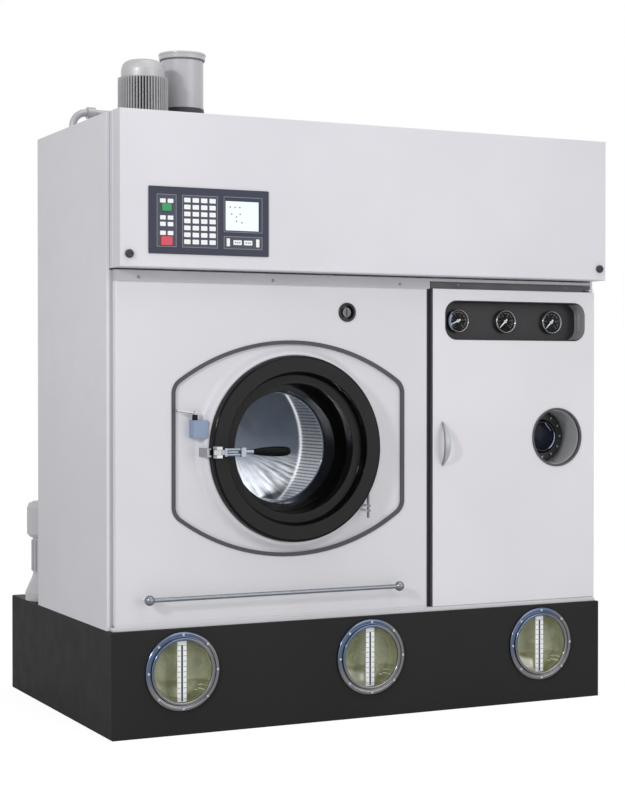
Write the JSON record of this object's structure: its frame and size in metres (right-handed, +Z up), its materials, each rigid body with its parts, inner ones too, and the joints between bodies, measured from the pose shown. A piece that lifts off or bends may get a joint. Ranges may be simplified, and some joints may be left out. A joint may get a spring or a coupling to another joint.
{
  "type": "dry cleaning machine",
  "caption": "Free-standing dry cleaning machine: white cabinet on a black solvent tank base, round loading door with latch lever, drum, hinged header and service door.",
  "frame": {"origin": "on the floor under the centre of the base tank", "axes": "+X to the machine's right as seen from the front, +Y to the back, +Z up"},
  "size_m": [1.45, 0.921, 1.742],
  "materials": {
    "white_paint": "smooth semi-gloss white powder coat",
    "side_paint": "smooth semi-gloss light grey powder coat",
    "black_paint": "satin black paint",
    "frame_paint": "dull grey primer",
    "fascia_paint": "satin slate overlay",
    "gloss_black": "polished black",
    "start_green": "glossy green",
    "stop_red": "glossy red",
    "pale_blue": "smooth pale blue",
    "dark_plastic": "fine matt dark grey",
    "pipe_grey": "smooth grey pipe plastic",
    "needle_white": "matt white",
    "rubber": "dark grey rubber",
    "chrome": "bright plating",
    "steel": "plain steel",
    "stainless": "polished stainless steel",
    "cast_grey": "smooth grey enamel",
    "light_alloy": "satin cast alloy",
    "olive_paint": "olive tank lining",
    "clear_glass": "clear"
  },
  "bodies": {
    "machine": {"base_tank": "black_paint", "sight_wells": "olive_paint", "sight_flanges": "chrome", "sight_glasses": "clear_glass", "level_scales": "white_paint", "flange_bolts": "chrome", "cabinet_frame": "frame_paint", "side_panels": "side_paint", "rear_panel": "side_paint", "roof_panel": "side_paint", "front_panel": "white_paint", "edge_trim": "rubber", "front_rails": "white_paint", "tub_front_plate": "white_paint", "outer_tub": "stainless", "bearing_housing": "cast_grey", "drive_motor": "cast_grey", "drive_belt": "rubber", "hand_rail": "chrome", "interlock_switch": "pale_blue", "latch_keeper": "steel", "port_bezel": "steel", "fan_motor": "cast_grey", "fan_housing": "stainless", "exhaust_duct": "pipe_grey", "duct_sleeve": "rubber", "roof_pipe": "light_alloy", "solvent_pump": "cast_grey", "still_vessel": "black_paint", "filter_housing": "steel", "switch_panel": "steel", "hinge_pins": "steel"},
    "loading_door": {"door_ring": "gloss_black", "door_gasket": "rubber", "door_glass": "clear_glass", "latch_block": "light_alloy"},
    "latch_lever": {"latch_lever": "chrome", "latch_grip": "gloss_black"},
    "drum": {"drum_shell": "stainless", "drum_ends": "stainless", "drum_shaft": "steel"},
    "motor_rotor": {"motor_pulley": "steel"},
    "fan": {"fan_impeller": "light_alloy"},
    "header_cover": {"header_cover": "white_paint", "control_fascia": "fascia_paint", "keypad": "white_paint"},
    "start_button": {"start_button": "start_green"},
    "stop_button": {"stop_button": "stop_red"},
    "left_header_lock": {"left_header_lock": "dark_plastic"},
    "right_header_lock": {"right_header_lock": "dark_plastic"},
    "service_door": {"service_door": "white_paint", "gauge_pocket": "dark_plastic", "gauge_cases": "chrome", "porthole_rim": "dark_plastic", "bow_handle": "light_alloy"},
    "left_needle": {"left_needle": "needle_white"},
    "middle_needle": {"middle_needle": "needle_white"},
    "right_needle": {"right_needle": "needle_white"},
    "interlock_arm": {"interlock_arm": "white_paint"},
    "port_lock": {"port_lock": "chrome"}
  },
  "joints": [
    {"name": "loading_door_hinge", "type": "hinge", "parent": "machine", "child": "loading_door", "pos_m": [-0.023, -0.453, 0.7145], "axis": [0, 0, 1], "range_deg": [0, 100]},
    {"name": "latch_lever_pivot", "type": "hinge", "parent": "loading_door", "child": "latch_lever", "pos_m": [-0.459, -0.478, 0.71], "axis": [0, 0, -1], "range_deg": [0, 110]},
    {"name": "drum_spin", "type": "hinge", "parent": "machine", "child": "drum", "pos_m": [-0.2285, 0, 0.7145], "axis": [0, 1, 0], "continuous": true},
    {"name": "motor_spin", "type": "hinge", "parent": "machine", "child": "motor_rotor", "pos_m": [-0.09, 0.112, 0.39], "axis": [0, 1, 0], "continuous": true},
    {"name": "fan_spin", "type": "hinge", "parent": "machine", "child": "fan", "pos_m": [-0.596, -0.31, 1.51], "axis": [0, 0, 1], "continuous": true},
    {"name": "header_cover_hinge", "type": "hinge", "parent": "machine", "child": "header_cover", "pos_m": [0, -0.396, 1.561], "axis": [-1, 0, 0], "range_deg": [0, 85]},
    {"name": "start_button_press", "type": "slide", "parent": "header_cover", "child": "start_button", "axis": [0, 1, 0], "range_m": [0, 0.003], "stiffness_N_per_m": 400},
    {"name": "stop_button_press", "type": "slide", "parent": "header_cover", "child": "stop_button", "axis": [0, 1, 0], "range_m": [0, 0.003], "stiffness_N_per_m": 400},
    {"name": "left_lock_turn", "type": "hinge", "parent": "header_cover", "child": "left_header_lock", "pos_m": [-0.693, -0.4715, 1.2005], "axis": [0, 1, 0], "range_deg": [0, 90]},
    {"name": "right_lock_turn", "type": "hinge", "parent": "header_cover", "child": "right_header_lock", "pos_m": [0.695, -0.4715, 1.2005], "axis": [0, 1, 0], "range_deg": [0, 90]},
    {"name": "service_door_hinge", "type": "hinge", "parent": "machine", "child": "service_door", "pos_m": [0.708, -0.409, 0.7085], "axis": [0, 0, 1], "range_deg": [0, 110]},
    {"name": "left_needle_turn", "type": "hinge", "parent": "service_door", "child": "left_needle", "pos_m": [0.293, -0.38, 1.053], "axis": [0, 1, 0], "range_deg": [-21, 249]},
    {"name": "middle_needle_turn", "type": "hinge", "parent": "service_door", "child": "middle_needle", "pos_m": [0.445, -0.38, 1.053], "axis": [0, 1, 0], "range_deg": [0, 270]},
    {"name": "right_needle_turn", "type": "hinge", "parent": "service_door", "child": "right_needle", "pos_m": [0.597, -0.38, 1.053], "axis": [0, 1, 0], "range_deg": [0, 270]},
    {"name": "interlock_arm_turn", "type": "hinge", "parent": "machine", "child": "interlock_arm", "pos_m": [-0.503, -0.43, 0.808], "axis": [0, 0, 1], "range_deg": [0, 80]},
    {"name": "port_lock_turn", "type": "hinge", "parent": "machine", "child": "port_lock", "pos_m": [-0.067, -0.417, 1.069], "axis": [0, 1, 0], "range_deg": [0, 90]}
  ],
  "couplings": [
    {"joint": "motor_spin", "follows": "drum_spin", "ratio": 3.4286}
  ]
}
